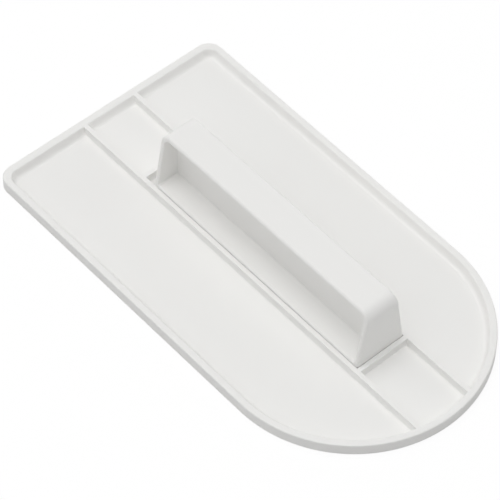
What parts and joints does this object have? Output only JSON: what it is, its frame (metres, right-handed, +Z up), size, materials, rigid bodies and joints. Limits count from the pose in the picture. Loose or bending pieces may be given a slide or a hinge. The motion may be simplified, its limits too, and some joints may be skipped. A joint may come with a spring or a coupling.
{
  "type": "icing smoother",
  "caption": "Flat icing smoother in white moulded plastic: a rimmed, ribbed plate, square at one end and round at the other, smooth underneath, with a bonded I-section grip.",
  "frame": {"origin": "middle of the plate's length and width, on its smooth underside", "axes": "+X along the plate towards its round end, +Y across the plate, +Z up from the underside to the grip"},
  "size_m": [0.145, 0.08, 0.024],
  "materials": {
    "plate_plastic": "white injection-moulded plastic, fine satin on the ribbed side, polished smooth underneath",
    "handle_plastic": "white injection-moulded plastic with a soft satin sheen",
    "adhesive": "cured clear adhesive, slightly yellow, hidden under the handle"
  },
  "bodies": {
    "root": {"base_plate": "plate_plastic", "handle": "handle_plastic", "bond_film": "adhesive"}
  },
  "joints": []
}
